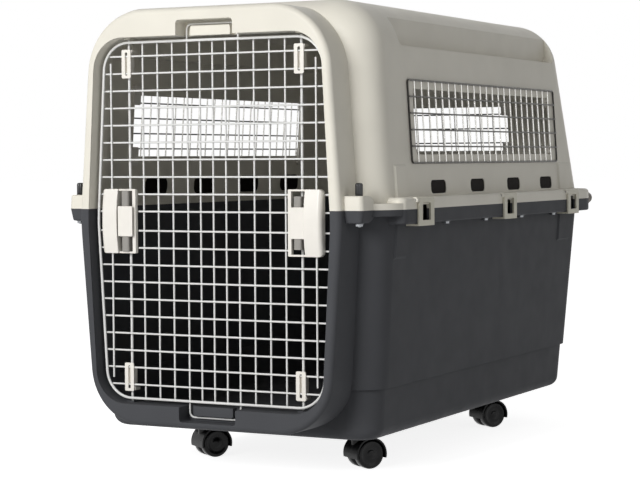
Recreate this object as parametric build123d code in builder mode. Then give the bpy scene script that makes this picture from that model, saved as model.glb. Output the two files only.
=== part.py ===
from build123d import *
import math
import os

# Pet transport carrier: two moulded half shells bolted and clipped together along a flange,
# a wire door that locks with two pairs of sliding rods, three wire windows and four casters.
# Millimetres, +Z up, front towards -Y, floor at Z = 0, origin under the middle of the carrier.

# ------------------------------------------------------------------ shells
LENGTH = 917.0           # front rim to the rear edge of the flange
BOX_W = 505.0            # width over the tub walls at the parting plane
UPPER_H = 300.0          # parting plane to roof
LOWER_H = 332.0          # underside to parting plane
WALL = 4.0               # moulded wall
CORNER_R = 45.0          # upright corners at the parting plane
ROOF_R = 75.0            # rounding along the roof
ROOF_CORNER_R = 92.0     # upright corners at roof level
BASE_R = 18.0            # rounding along the underside
SIDE_DRAFT = 3.7         # lean of the walls, degrees
REAR_DRAFT_UP = 8.5
REAR_DRAFT_DOWN = 4.6
FRONT_DRAFT_DOWN = 2.6
STEP_UP = 75.0           # height of the step in the lower tub above its underside
STEP_IN = 5.0            # how far the tub narrows at the step

# ------------------------------------------------------------------ front rim and doorway
RIM_DEPTH = 56.0         # rim face to the front wall of the tub
RIM_ROOT = 46.0          # rim carried on into the rounded front of the tub
RIM_INSET = 35.0         # rim side in from the tub side
RIM_SIDE_W = 16.5        # rim face beside the doorway, at mid height
RIM_END_W = 8.5          # the same at the top and bottom ends
RIM_TOP_W = 40.0         # rim face above the doorway
RIM_BOTTOM_W = 31.0      # rim face below the doorway
RIM_TOP_R = 95.0
RIM_BOTTOM_R = 85.0
RIM_EDGE_R = 8.0         # rounding of the rim's outer edge
JAMB_DEPTH = 38.0        # how far the doorway lining runs back
LIP_R = 3.0              # rounding of the doorway's edge
DOORWAY_H = 537.0
DOORWAY_DROP = 17.8      # doorway centre below the parting plane
DOORWAY_TAPER = 14.5     # narrowing on each side from mid height to the ends
DOORWAY_R = 49.0
DOOR_INSET = 23.0        # rim face to the plane of the door
POCKET_W = 94.0          # pocket for the door's loops, above and below the doorway
POCKET_H = 22.0
POCKET_R = 5.0
PEG_SIDE_GAP = 8.2       # moulded peg inside each loop
PEG_END_GAP = 1.6
PEG_FACE = 5.0           # its face in front of the door plane
PEG_R = 3.0

# ------------------------------------------------------------------ flange, lugs and pilasters
FLANGE_OUT = 22.0
FLANGE_UP = 17.0
FLANGE_DOWN = 21.0
FLANGE_SKIN = 3.5
FLANGE_TOP_R = 6.5
FLANGE_FOOT_R = 3.0
FLANGE_END_R = 12.0      # corner in plan where the main flange begins
FLANGE_START = 62.0      # main flange begins this far behind the door plane
NECK_OUT = 20.0          # thin flange between lug and main flange
NECK_T = 9.0
LUG_L = 28.0
LUG_OUT = 27.0
LUG_BOLT_IN = 12.0       # bolt in from the lug's tip
LUG_RAMP = 18.0          # slope behind the lug, down to the neck
LUG_UP = 20.5
LUG_DOWN = 18.0
LUG_R = 8.0
LUG_Y = 4.0              # lug centre behind the door plane
PILASTER_OUT = 2.6
PILASTER_SLOPE = 55.0    # sides of a pilaster, degrees from upright
PILASTER_UP = 64.0
PILASTER_DOWN = 72.0
PILASTERS = ((82.0, 122.0), (LENGTH - 170.0, LENGTH - 111.0))   # start and end behind the door plane

# ------------------------------------------------------------------ windows, vents, roof grooves
WINDOW_L = LENGTH - 356.0
WINDOW_H = 96.0
WINDOW_MID = LENGTH / 2 - 14.0   # behind the door plane
WINDOW_RISE = 126.0      # up the wall from the parting plane
WINDOW_R = 6.0
REAR_WINDOW_W = 236.0
REAR_WINDOW_H = 80.0
GRILLE_LAP = 12.5        # how far a window grille laps the wall above and below
GRILLE_END_LAP = 19.5    # and at its ends
GRILLE_R = 5.0
RETAINER_L = 20.0
RETAINER_H = 30.0
RETAINER_T = 5.0
RETAINER_R = 3.0
RETAINER_PEG = 5.0
GRILLE_WIRE = 2.4
GRILLE_EDGE_WIRE = 2.8
GRILLE_PITCH = 24.2
VENT_L = 56.0
VENT_H = 20.0
VENT_R = 7.0
VENT_RISE = 30.0
VENT_SET = 1.0           # vent insert below the wall's outer face
VENT_LIP = 4.0           # its lip inside the wall
VENT_GAP = 0.15
VENTS = (237.0, LENGTH / 2 - 70.5, LENGTH / 2 + 81.5, LENGTH - 228.0)   # behind the door plane
GROOVE_START = 126.0
GROOVE_END = LENGTH - 153.0
GROOVE_DEPTH = 34.5      # in from the tub side at the parting plane
GROOVE_DOWN = 65.0       # groove shelf below the roof
GROOVE_R = 14.0

# ------------------------------------------------------------------ door
MESH_WIRE = 2.8
FRAME_WIRE = 4.0
DOOR_GAP = 4.7           # frame wire to doorway lining
MESH_PITCH = 25.3
MID_CELL = 28.4          # the row of cells behind the latches
CENTRE_PITCH = 21.3      # the four middle columns are narrower
CENTRE_COLUMNS = 2       # on each side of the middle wire
SIDE_COLUMNS = 3
STUB_X = 170.4           # short upright wires in front of the rows, beside the lock rods
STUB_H = 464.0
LOOP_REACH = 23.8        # loop wire beyond the frame wire
LOOP_R = 8.0
WELD = 0.05              # clearance drawn between wires that touch

# ------------------------------------------------------------------ lock
ROD_X = 143.6
ROD_D = 4.0
ROD_FREE = 2.2           # rod behind the row wires
ROD_TRAVEL = 7.0
ROD_GAP = 0.25           # rod in its guides and sockets
TIP_GAP = 0.5            # free rod tip short of its socket
SOCKET_W = 13.0
SOCKET_LIP = 2.0         # socket standing into the doorway
SOCKET_DEPTH = 18.0
GUIDE_W = 15.5
GUIDE_L = 42.0
GUIDE_RISE = 1.5         # guide's middle outside the middle of its mesh cell
GUIDE_R = 2.0
GUIDE_SLIT = 4.0
GUIDE_WALL = 1.6
HOOK_W = 8.0             # hook behind each guide
HOOK_H = 4.0
HOOK_REACH = 19.0        # behind the door plane
LATCH_H = 94.6
LATCH_IN = 127.0         # latch housing, distance of its sides from the door's middle
LATCH_OUT = 183.0
ROW_GAP = 1.0            # row wires end this far beside a latch
RAIL_W = 5.4             # rail along the inner side of a latch
RAIL_DEPTH = 9.0
RAIL_R = 1.5
LATCH_BAR = 2.6          # bars that join rail and grip at both ends
GRIP_W = 27.5
LATCH_DEPTH = 17.0       # front of the grip from the door plane
GRIP_CROWN = 5.0
GRIP_SIDE_R = 6.5
GRIP_EDGE_R = 1.0
BRIDGE_H = 20.0          # plate behind the tab that joins rail and grip
BRIDGE_T = 2.4
TAB_H = 44.4
TAB_W = 25.0
TAB_TRAVEL = 3.5
TAB_T = 1.6
TAB_SET = 2.5            # tab face behind the grip's crown
TAB_SHOW = 1.0           # released tab short of the grip
TAB_WEB = 3.0
SPRING_SEAT = 3.0
SLIDE_GAP = 0.4
SLEEVE_W = 12.4
SLEEVE_L = 26.5
SLEEVE_R = 3.0
SLEEVE_IN = 18.0         # inner end of a sleeve from the latch's middle, rod extended
SPRING_D = 7.0
SPRING_WIRE = 1.0
SPRING_TURNS = 5

# ------------------------------------------------------------------ side clips
CLIP_L = 53.0
CLIP_T = 2.8
CLIP_PIN_D = 4.0
CLIP_BARREL_D = 8.5
CLIP_PIN_GAP = 0.08
CLIP_GAP = 0.5
CLIP_HOOK = 18.0
CLIP_HOOK_T = 3.0
CLIP_EAR_T = 5.0
CLIP_SLOT_L = 28.0
CLIP_SLOT_H = 25.0
CLIP_NOTCH_WALL = 2.0    # flange wall round the notch for a clip's barrel
CLIPS = (133.0, LENGTH / 2 + 0.5, LENGTH - 165.0)   # behind the door plane

# ------------------------------------------------------------------ fasteners
LUG_BOLT_D = 6.0
KNOB_D = 11.0
KNOB_H = 18.0
NUT_AF = 11.0
NUT_H = 5.0
SCREW_D = 6.0
SCREW_HEAD_AF = 11.0
SCREW_HEAD_H = 4.0
SCREW_L = 30.0
BOSS_D = 14.0
STUD_D = 27.0            # dome studs on the rear corners of the flange
STUD_OUT = 13.0
STUD_SHANK_D = 8.0
STUD_SHANK_L = 6.0
HOLE_GAP = 0.15

# ------------------------------------------------------------------ casters
CASTER_H = 62.5          # floor to underside of the tub
CASTER_X = 134.5
CASTER_TURN = -35.0      # casters stand swivelled by this much
CASTER_FRONT = 194.0     # stems behind the door plane
CASTER_REAR = LENGTH - 233.0
WHEEL_D = 44.0
WHEEL_W = 17.0
WEB_T = 7.0
TRAIL = 13.0             # axle behind the stem
AXLE_D = 6.0
STEM_D = 10.0
STEM_L = 8.0
BOSS_R = 9.0
WHEEL_GAP = 1.0
PLATE_D = 40.0
PLATE_T = 4.0
HOOD_T = 2.5
HOOD_GAP = 1.2
SWIVEL_GAP = 0.4
PIN_GAP = 0.08

# ------------------------------------------------------------------ derived places
SPLIT_Z = CASTER_H + LOWER_H
ROOF_Z = SPLIT_Z + UPPER_H
BASE_Z = CASTER_H
STEP_Z = BASE_Z + STEP_UP
FRONT_Y = -LENGTH / 2
FLANGE_REAR_Y = FRONT_Y + LENGTH
REAR_Y = FLANGE_REAR_Y - FLANGE_OUT
DOOR_Y = FRONT_Y + DOOR_INSET
BOX_FRONT_Y = FRONT_Y + RIM_DEPTH
TIP_X = BOX_W / 2 + FLANGE_OUT
DOOR_Z = SPLIT_Z - DOORWAY_DROP
DOORWAY_HALF_W = BOX_W / 2 - RIM_INSET - RIM_SIDE_W
FRAME_OFFSET = DOOR_GAP + FRAME_WIRE / 2
MESH_R = MESH_WIRE / 2
LAYER = (MESH_WIRE + WELD) / 2                   # row wires in front, upright wires behind
MESH_FRONT = LAYER + MESH_R + WELD               # moulded parts begin here, in front of the mesh
FRAME_OUT = MESH_FRONT + FRAME_WIRE / 2
STUB_OUT = MESH_FRONT + MESH_R
ROD_BACK = ROD_FREE + ROD_D / 2
SIDES = {"left": -1, "right": 1}
ENDS = {"upper": 1, "lower": -1}

SPLIT_PLANE = Plane.XY.offset(SPLIT_Z)
FRONT_PLANE = Plane((0, FRONT_Y, DOOR_Z), x_dir=(1, 0, 0), z_dir=(0, -1, 0))
DOOR_PLANE = Plane((0, DOOR_Y, DOOR_Z), x_dir=(1, 0, 0), z_dir=(0, -1, 0))


def tan(degrees):
    return math.tan(math.radians(degrees))


def wall_plane(x, y, lean, direction):
    """Plane on the outside of an upper wall: local x along the wall, local y up it."""
    c = math.cos(math.radians(lean))
    s = math.sin(math.radians(lean))
    dx, dy = direction
    return Plane((x, y, SPLIT_Z), x_dir=(-dy, dx, 0), z_dir=(dx * c, dy * c, s))


SIDE_PLANE = wall_plane(BOX_W / 2, DOOR_Y + WINDOW_MID, SIDE_DRAFT, (1, 0))
REAR_PLANE = wall_plane(0, REAR_Y, REAR_DRAFT_UP, (0, 1))


os.makedirs("parts", exist_ok=True)


def save(part, name):
    part.label = name
    export_step(part, f"parts/{name}.step")


# ================================================================== shells
def plan(z, inset, radius, front=None):
    """Rounded outline of the tub at height z, drawn into the open sketch."""
    rise = abs(z - SPLIT_Z)
    upper = z >= SPLIT_Z
    half = BOX_W / 2 - rise * tan(SIDE_DRAFT) - inset
    rear = REAR_Y - rise * tan(REAR_DRAFT_UP if upper else REAR_DRAFT_DOWN) - inset
    if front is None:
        front = BOX_FRONT_Y + rise * tan(FRONT_DRAFT_DOWN) + inset
    with Locations((0, (front + rear) / 2)):
        RectangleRounded(2 * half, rear - front, radius)


def upper_form(inset):
    """Roof half of the tub, every face moved in by inset."""
    top = ROOF_Z - inset
    lead = BOX_FRONT_Y - 2 * ROOF_CORNER_R
    with BuildPart() as form:
        with BuildSketch(SPLIT_PLANE):
            plan(SPLIT_Z, inset, CORNER_R - inset, front=lead)
        with BuildSketch(Plane.XY.offset(top)):
            plan(top, inset, ROOF_CORNER_R - inset, front=lead)
        loft()
        fillet(form.faces().sort_by(Axis.Z)[-1].edges(), ROOF_R - inset)
        split(bisect_by=Plane.XZ.offset(-(BOX_FRONT_Y + inset)), keep=Keep.BOTTOM)
        front_face = form.faces().sort_by(Axis.Y)[0]
        fillet(front_face.edges().sort_by(Axis.Z)[1:], CORNER_R - inset)
    return form.part


def lower_form(inset):
    """Floor half of the tub, every face moved in by inset."""
    step = STEP_Z + inset
    base = BASE_Z + inset
    with BuildPart() as form:
        with BuildSketch(SPLIT_PLANE):
            plan(SPLIT_Z, inset, CORNER_R - inset)
        with BuildSketch(Plane.XY.offset(step)):
            plan(step, inset, CORNER_R - inset)
        loft()
        with BuildSketch(Plane.XY.offset(step)):
            plan(step, inset + STEP_IN, CORNER_R - STEP_IN - inset)
        with BuildSketch(Plane.XY.offset(base)):
            plan(base, inset + STEP_IN, CORNER_R - STEP_IN - inset)
        loft()
        fillet(form.faces().sort_by(Axis.Z)[0].edges(), BASE_R - inset)
    return form.part


def doorway_outline(grow):
    """Doorway shape moved out by grow: widest at mid height, round corners."""
    half_mid = DOORWAY_HALF_W + grow
    half_end = half_mid - DOORWAY_TAPER
    end = DOORWAY_H / 2 + grow
    radius = DOORWAY_R + grow
    points = [(-half_end, end), (half_end, end), (half_mid, 0)]
    points += [(half_end, -end), (-half_end, -end), (-half_mid, 0)]
    corner = [radius, radius, 6 * radius]
    return FilletPolyline(*points, radius=corner + corner, close=True)


def rim_form(inset):
    """Outer block of the front rim, every face moved in by inset."""
    half_mid = DOORWAY_HALF_W + RIM_SIDE_W - inset
    half_end = DOORWAY_HALF_W - DOORWAY_TAPER + RIM_END_W - inset
    top = DOORWAY_H / 2 + RIM_TOP_W - inset
    bottom = DOORWAY_H / 2 + RIM_BOTTOM_W - inset
    points = [(-half_end, top), (half_end, top), (half_mid, 0)]
    points += [(half_end, -bottom), (-half_end, -bottom), (-half_mid, 0)]
    upper_r = RIM_TOP_R - inset
    lower_r = RIM_BOTTOM_R - inset
    radii = [upper_r, upper_r, 3 * RIM_TOP_R, lower_r, lower_r, 3 * RIM_TOP_R]
    with BuildPart() as form:
        with BuildSketch(FRONT_PLANE.offset(-inset)):
            with BuildLine():
                FilletPolyline(*points, radius=radii, close=True)
            make_face()
        extrude(amount=-(RIM_DEPTH + RIM_ROOT))
        fillet(form.faces().sort_by(Axis.Y)[0].edges(), RIM_EDGE_R - inset)
    return form.part


def pocket_block(grow, depth):
    """Block around the loop pockets, above and below the doorway."""
    reach = DOORWAY_H / 2 + POCKET_H + grow
    with BuildPart() as block:
        with BuildSketch(FRONT_PLANE):
            RectangleRounded(POCKET_W + 2 * grow, 2 * reach, POCKET_R + grow)
        extrude(amount=-depth)
    return block.part


pocket_depth = DOOR_INSET + 2 * MESH_WIRE

with BuildPart() as lining:
    with BuildSketch(FRONT_PLANE.offset(-WALL)):
        with BuildLine():
            doorway_outline(WALL)
        make_face()
    extrude(amount=-(JAMB_DEPTH - WALL))
    add(pocket_block(WALL, pocket_depth + WALL))
    with BuildSketch(FRONT_PLANE):
        for side in SIDES.values():
            with Locations((side * ROD_X, 0)):
                Rectangle(SOCKET_W, DOORWAY_H + 2 * SOCKET_DEPTH - 2 * SOCKET_LIP)
    extrude(amount=-(DOOR_INSET + ROD_BACK + SOCKET_W / 2))
    add(rim_form(0), mode=Mode.INTERSECT)

with BuildPart() as sockets:
    span = DOORWAY_H / 2 - SOCKET_LIP
    with BuildSketch(FRONT_PLANE.offset(-(DOOR_INSET + ROD_BACK - SOCKET_W / 2))):
        for side in SIDES.values():
            for end in ENDS.values():
                with Locations((side * ROD_X, end * (span + SOCKET_DEPTH / 2))):
                    Rectangle(SOCKET_W, SOCKET_DEPTH)
    extrude(amount=-SOCKET_W)

with BuildPart() as socket_bores:
    with BuildSketch(Plane.XY.offset(DOOR_Z)):
        with Locations(*[(side * ROD_X, DOOR_Y + ROD_BACK) for side in SIDES.values()]):
            Circle(ROD_D / 2 + ROD_GAP)
    extrude(amount=span + SOCKET_DEPTH - WALL, both=True)

loop_x = CENTRE_COLUMNS * CENTRE_PITCH
peg_half = loop_x - MESH_R - PEG_SIDE_GAP
peg_reach = DOORWAY_H / 2 - FRAME_OFFSET + LOOP_REACH - MESH_R - PEG_END_GAP
with BuildPart() as pegs:
    with BuildSketch(DOOR_PLANE.offset(PEG_FACE)):
        RectangleRounded(2 * peg_half, 2 * peg_reach, PEG_R)
    extrude(amount=-(PEG_FACE + pocket_depth - DOOR_INSET + WALL / 2))
    with BuildSketch(FRONT_PLANE):
        Rectangle(2 * POCKET_W, DOORWAY_H)
    extrude(amount=-2 * RIM_DEPTH, mode=Mode.SUBTRACT)

with BuildPart() as doorway:
    with BuildSketch(FRONT_PLANE):
        with BuildLine():
            doorway_outline(0)
        make_face()
    extrude(amount=-(RIM_DEPTH + 2 * WALL))
    add(pocket_block(0, pocket_depth))


def groove_form(grow):
    """The two roof grooves as cutting blocks, moved out by grow."""
    middle = (GROOVE_START + GROOVE_END) / 2
    length = GROOVE_END - GROOVE_START
    with BuildPart() as form:
        with BuildSketch(Plane.YZ.offset(BOX_W / 2 - GROOVE_DEPTH - grow)):
            with Locations((DOOR_Y + middle, ROOF_Z - GROOVE_DOWN + ROOF_R / 2)):
                RectangleRounded(length + 2 * grow, ROOF_R + 2 * grow, GROOVE_R + grow)
        extrude(amount=GROOVE_DEPTH + FLANGE_OUT)
        mirror(about=Plane.YZ)
    return form.part


def flange_plan(out, mode=Mode.ADD):
    """Tub outline at the parting plane moved out by out."""
    front = BOX_FRONT_Y - out
    rear = REAR_Y + out
    with Locations((0, (front + rear) / 2)):
        RectangleRounded(BOX_W + 2 * out, rear - front, CORNER_R + out, mode=mode)


def drop_front(start):
    """Cut away what lies less than start behind the door plane."""
    split(bisect_by=Plane.XZ.offset(-(DOOR_Y + start)), keep=Keep.BOTTOM)


screw_x = BOX_W / 2 + (FLANGE_OUT - FLANGE_SKIN) / 2
screw_spots = [(side * screw_x, DOOR_Y + y) for side in SIDES.values() for y in VENTS]
rim_x = DOORWAY_HALF_W + RIM_SIDE_W
lug_x = rim_x + LUG_OUT - LUG_BOLT_IN
lug_spots = [(side * lug_x, DOOR_Y + LUG_Y) for side in SIDES.values()]
corner_out = (CORNER_R + FLANGE_OUT) / math.sqrt(2)
stud_x = BOX_W / 2 - CORNER_R + corner_out
stud_y = REAR_Y - CORNER_R + corner_out


def stud_plane(side, depth):
    """Plane across a corner stud, depth inside the flange's outer face."""
    out = Vector(side, 1, 0).normalized()
    place = Vector(side * stud_x, stud_y, SPLIT_Z) - out * depth
    return Plane(origin=place, x_dir=(0, 0, 1), z_dir=out)


def lug_block(up, height):
    """One rounded lug on each side of the front rim, with a slope behind it down to the neck."""
    back = DOOR_Y + LUG_Y + LUG_L / 2
    crest = SPLIT_Z + up * height
    foot = SPLIT_Z + up * NECK_T
    middle = rim_x + (LUG_OUT - LUG_R) / 2
    with BuildPart() as lugs:
        with BuildSketch(SPLIT_PLANE):
            with Locations(*[(side * middle, DOOR_Y + LUG_Y + LUG_RAMP / 2) for side in SIDES.values()]):
                RectangleRounded(LUG_OUT + LUG_R, LUG_L + LUG_RAMP, LUG_R)
        extrude(amount=up * height, taper=4 if up > 0 else 12)
        end_faces = lugs.faces().filter_by(Axis.Z).group_by(Axis.Z)[-1 if up > 0 else 0]
        fillet(end_faces.edges(), LIP_R)
        with BuildSketch(Plane.YZ):
            with BuildLine():
                far = back + 2 * LUG_RAMP
                slope = [(back, crest), (back + LUG_RAMP, foot), (far, foot)]
                Polyline(*slope, (far, crest + up), (back, crest + up), close=True)
            make_face()
        extrude(amount=BOX_W, both=True, mode=Mode.SUBTRACT)
    return lugs.part


clip_pin_x = TIP_X + CLIP_GAP + CLIP_T - CLIP_BARREL_D / 2
clip_pin_z = SPLIT_Z + FLANGE_UP - CLIP_BARREL_D / 2
notch_x = clip_pin_x - CLIP_BARREL_D / 2 - CLIP_GAP
notch_z = clip_pin_z - CLIP_BARREL_D / 2 - CLIP_GAP
notch_l = CLIP_L + 2 * CLIP_GAP


def clip_blocks(x, z, length):
    """Block at each clip, from x outwards and from z to the flange's top."""
    with BuildPart() as blocks:
        with BuildSketch(Plane.XY.offset(z)):
            for side in SIDES.values():
                with Locations(*[(side * TIP_X, DOOR_Y + y) for y in CLIPS]):
                    Rectangle(2 * (TIP_X - x), length)
        extrude(amount=SPLIT_Z + FLANGE_UP - z)
    return blocks.part


def flange_form(up, height, edge_r, lug_height, slot_h):
    """Flange of one shell: skirt, screw bosses, clip slots, thin neck and front lug."""
    with BuildPart() as form:
        with BuildSketch(SPLIT_PLANE):
            flange_plan(FLANGE_OUT)
        extrude(amount=up * height)
        drop_front(FLANGE_START)
        fillet(form.edges().filter_by(Axis.Z).sort_by(Axis.Y)[:2], FLANGE_END_R)
        end_face = form.faces().sort_by(Axis.Z)[-1 if up > 0 else 0]
        fillet(end_face.edges(), edge_r)
        with BuildSketch(SPLIT_PLANE):
            flange_plan(NECK_OUT)
        extrude(amount=up * NECK_T)
        add(lug_block(up, lug_height))
    with BuildPart() as hollow:
        with BuildSketch(SPLIT_PLANE):
            flange_plan(FLANGE_OUT - FLANGE_SKIN)
            flange_plan(0, mode=Mode.SUBTRACT)
        extrude(amount=up * (height - FLANGE_SKIN))
        drop_front(FLANGE_START + FLANGE_END_R)
        wall = CLIP_NOTCH_WALL
        add(clip_blocks(notch_x - wall, notch_z - wall, notch_l + 2 * wall), mode=Mode.SUBTRACT)
        with BuildSketch(SPLIT_PLANE):
            with Locations(*screw_spots):
                Circle(BOSS_D / 2)
        extrude(amount=up * height, mode=Mode.SUBTRACT)
        with BuildSketch(SPLIT_PLANE):
            for side in SIDES.values():
                with Locations(*[(side * TIP_X, DOOR_Y + y) for y in CLIPS]):
                    Rectangle(2 * FLANGE_SKIN + 1, CLIP_SLOT_L)
        extrude(amount=up * slot_h)
        for side in SIDES.values():
            with BuildSketch(stud_plane(side, FLANGE_SKIN + 1)):
                Circle(STUD_SHANK_D / 2 + HOLE_GAP)
            extrude(amount=2 * FLANGE_SKIN)
    with BuildPart() as flange:
        add(form.part)
        add(hollow.part, mode=Mode.SUBTRACT)
    return flange.part


def pilaster_form(lean, low, high):
    """Raised pads on both side walls, between two heights up the wall from the parting plane."""
    plane = wall_plane(BOX_W / 2, DOOR_Y, lean, (1, 0))
    with BuildPart() as pads:
        for start, end in PILASTERS:
            with BuildSketch(plane):
                with Locations(((start + end) / 2, (low + high) / 2)):
                    Rectangle(end - start, high - low)
            extrude(amount=PILASTER_OUT, taper=PILASTER_SLOPE)
        mirror(about=Plane.YZ)
    return pads.part


def half(part, keep):
    """Share of a whole form that belongs to one shell."""
    with BuildPart() as share:
        add(part)
        split(bisect_by=SPLIT_PLANE, keep=keep)
    return share.part


def add_front(keep):
    """Line the doorway of the open shell: cut the rim hollow, then seat the lining in it."""
    add(half(rim_form(WALL), keep), mode=Mode.SUBTRACT)
    add(half(lining.part, keep))
    add(half(doorway.part, keep), mode=Mode.SUBTRACT)
    add(half(sockets.part, keep))
    add(half(pegs.part, keep))
    add(half(socket_bores.part, keep), mode=Mode.SUBTRACT)


with BuildPart() as wall_openings:
    with BuildSketch(SIDE_PLANE):
        with Locations((0, WINDOW_RISE)):
            RectangleRounded(WINDOW_L, WINDOW_H, WINDOW_R)
    extrude(amount=3 * WALL, both=True)
    mirror(about=Plane.YZ)
    with BuildSketch(REAR_PLANE):
        with Locations((0, WINDOW_RISE)):
            RectangleRounded(REAR_WINDOW_W, REAR_WINDOW_H, WINDOW_R)
    extrude(amount=3 * WALL, both=True)

with BuildPart() as vent_openings:
    with BuildSketch(SIDE_PLANE.offset(-2 * WALL)):
        with Locations(*[(y - WINDOW_MID, VENT_RISE) for y in VENTS]):
            RectangleRounded(VENT_L, VENT_H, VENT_R)
    extrude(amount=3 * WALL)
    mirror(about=Plane.YZ)

ear_offset = CLIP_L / 2 + CLIP_GAP + CLIP_EAR_T / 2
ear_in = CLIP_BARREL_D * 0.8

with BuildPart() as clip_ears:
    for y in CLIPS:
        for end in ENDS.values():
            middle = DOOR_Y + y + end * ear_offset
            with BuildSketch(Plane.XZ.offset(-(middle + CLIP_EAR_T / 2))):
                with Locations((clip_pin_x, clip_pin_z)):
                    Circle(CLIP_BARREL_D / 2)
                with Locations((clip_pin_x - ear_in / 2, clip_pin_z)):
                    Rectangle(ear_in, CLIP_BARREL_D)
                with Locations((clip_pin_x, clip_pin_z)):
                    Circle(CLIP_PIN_D / 2, mode=Mode.SUBTRACT)
            extrude(amount=CLIP_EAR_T)
    mirror(about=Plane.YZ)

with BuildPart() as cabin_top:
    add(upper_form(WALL))
    add(groove_form(WALL), mode=Mode.SUBTRACT)

with BuildPart() as upper_shell:
    add(upper_form(0))
    add(groove_form(0), mode=Mode.SUBTRACT)
    add(half(rim_form(0), Keep.TOP))
    add(flange_form(1, FLANGE_UP, FLANGE_TOP_R, LUG_UP, notch_z - CLIP_NOTCH_WALL - SPLIT_Z))
    add(pilaster_form(SIDE_DRAFT, 0, PILASTER_UP))
    add(cabin_top.part, mode=Mode.SUBTRACT)
    add_front(Keep.TOP)
    add(wall_openings.part, mode=Mode.SUBTRACT)
    add(vent_openings.part, mode=Mode.SUBTRACT)
    add(clip_blocks(notch_x, notch_z, notch_l), mode=Mode.SUBTRACT)
    add(clip_ears.part)
    with BuildSketch(SPLIT_PLANE):
        with Locations(*lug_spots):
            Circle(LUG_BOLT_D / 2 + HOLE_GAP)
    extrude(amount=LUG_UP, mode=Mode.SUBTRACT)
    with BuildSketch(SPLIT_PLANE):
        with Locations(*screw_spots):
            Circle(SCREW_D / 2 + HOLE_GAP)
    extrude(amount=FLANGE_UP - FLANGE_SKIN, mode=Mode.SUBTRACT)
save(upper_shell.part, "upper_shell")

with BuildPart() as lower_shell:
    add(lower_form(0))
    add(half(rim_form(0), Keep.BOTTOM))
    add(flange_form(-1, FLANGE_DOWN, FLANGE_FOOT_R, LUG_DOWN, FLANGE_DOWN - FLANGE_SKIN))
    add(pilaster_form(-SIDE_DRAFT, -PILASTER_DOWN, 0))
    add(lower_form(WALL), mode=Mode.SUBTRACT)
    add_front(Keep.BOTTOM)
    with BuildSketch(SPLIT_PLANE):
        with Locations(*lug_spots):
            Circle(LUG_BOLT_D / 2 + HOLE_GAP)
        with Locations(*screw_spots):
            Circle(SCREW_D / 2 + HOLE_GAP)
    extrude(amount=-(FLANGE_DOWN + LUG_DOWN), mode=Mode.SUBTRACT)
save(lower_shell.part, "lower_shell")


# ================================================================== wire parts
def bent_loop(plane, points, radii, diameter):
    """Closed loop of round wire with rounded corners, lying in a plane."""
    with BuildPart() as loop:
        with BuildLine(plane) as path:
            FilletPolyline(*points, radius=radii, close=True)
        with BuildSketch(Plane(origin=path.line @ 0, z_dir=path.line % 0)):
            Circle(diameter / 2)
        sweep()
    return loop.part


def box_points(half_w, half_h):
    return [(-half_w, half_h), (half_w, half_h), (half_w, -half_h), (-half_w, -half_h)]


def wires(plane, diameter, runs, upright):
    """Straight wires in a plane; each run is (place across, from, to)."""
    turn = (90, 0, 0) if upright else (0, 90, 0)
    with BuildPart() as group:
        for across, start, end in runs:
            middle = (start + end) / 2
            spot = (across, middle, 0) if upright else (middle, across, 0)
            with Locations(plane * Location(spot)):
                Cylinder(diameter / 2, end - start, rotation=turn)
    return group.part


frame_end = DOORWAY_H / 2 - FRAME_OFFSET
frame_mid = DOORWAY_HALF_W - FRAME_OFFSET
frame_r = DOORWAY_R - FRAME_OFFSET


def frame_half(height):
    """Half width of the door's frame wire at a height from the door's middle."""
    across = frame_mid - DOORWAY_TAPER * abs(height) / frame_end
    into = max(0.0, abs(height) - (frame_end - frame_r))
    return across - frame_r + math.sqrt(frame_r**2 - into**2)


# ================================================================== door
with BuildPart() as door_frame_wire:
    with BuildLine(DOOR_PLANE.offset(FRAME_OUT)) as frame_path:
        doorway_outline(-FRAME_OFFSET)
    with BuildSketch(Plane(origin=frame_path.line @ 0, z_dir=frame_path.line % 0)):
        Circle(FRAME_WIRE / 2)
    sweep()
save(door_frame_wire.part, "door_frame_wire")

rows_each_way = int((frame_end - FRAME_WIRE - MID_CELL / 2) / MESH_PITCH)
row_heights = [MID_CELL / 2 + k * MESH_PITCH for k in range(rows_each_way + 1)]
row_heights = [h for h in row_heights if h < frame_end - FRAME_WIRE / 2 - MESH_WIRE]
half_latch = LATCH_H / 2


def row_spans(height):
    """Stretches of one row: whole, or broken at the latches."""
    edge = frame_half(height)
    if height > half_latch:
        return [(-edge, edge)]
    inner = LATCH_IN - ROW_GAP
    outer = STUB_X - MESH_WIRE
    return [(-edge, -outer), (-inner, inner), (outer, edge)]


row_runs = [(end * h, a, b) for h in row_heights for end in ENDS.values() for a, b in row_spans(h)]
save(wires(DOOR_PLANE.offset(LAYER), MESH_WIRE, row_runs, False), "door_row_wires")

columns = [k * CENTRE_PITCH for k in range(CENTRE_COLUMNS)]
columns += [loop_x + k * MESH_PITCH for k in range(1, SIDE_COLUMNS + 1)]
column_runs = [(side * x, -frame_end, frame_end) for x in columns[1:] for side in SIDES.values()]
column_runs.append((0, -frame_end, frame_end))
stub_runs = [(side * STUB_X, -STUB_H / 2, STUB_H / 2) for side in SIDES.values()]
with BuildPart() as door_column_wires:
    add(wires(DOOR_PLANE.offset(-LAYER), MESH_WIRE, column_runs, True))
    add(wires(DOOR_PLANE.offset(STUB_OUT), MESH_WIRE, stub_runs, True))
save(door_column_wires.part, "door_column_wires")

loop_points = box_points(loop_x, frame_end + LOOP_REACH)
save(bent_loop(DOOR_PLANE.offset(-LAYER), loop_points, [LOOP_R] * 4, MESH_WIRE), "door_loop_wire")

# ================================================================== lock rods, sleeves, guides
mouth = DOORWAY_H / 2 - SOCKET_LIP
rod_inner = SLEEVE_IN + ROD_D
rest_shift = {"left": ROD_TRAVEL, "right": 0.0}


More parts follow.
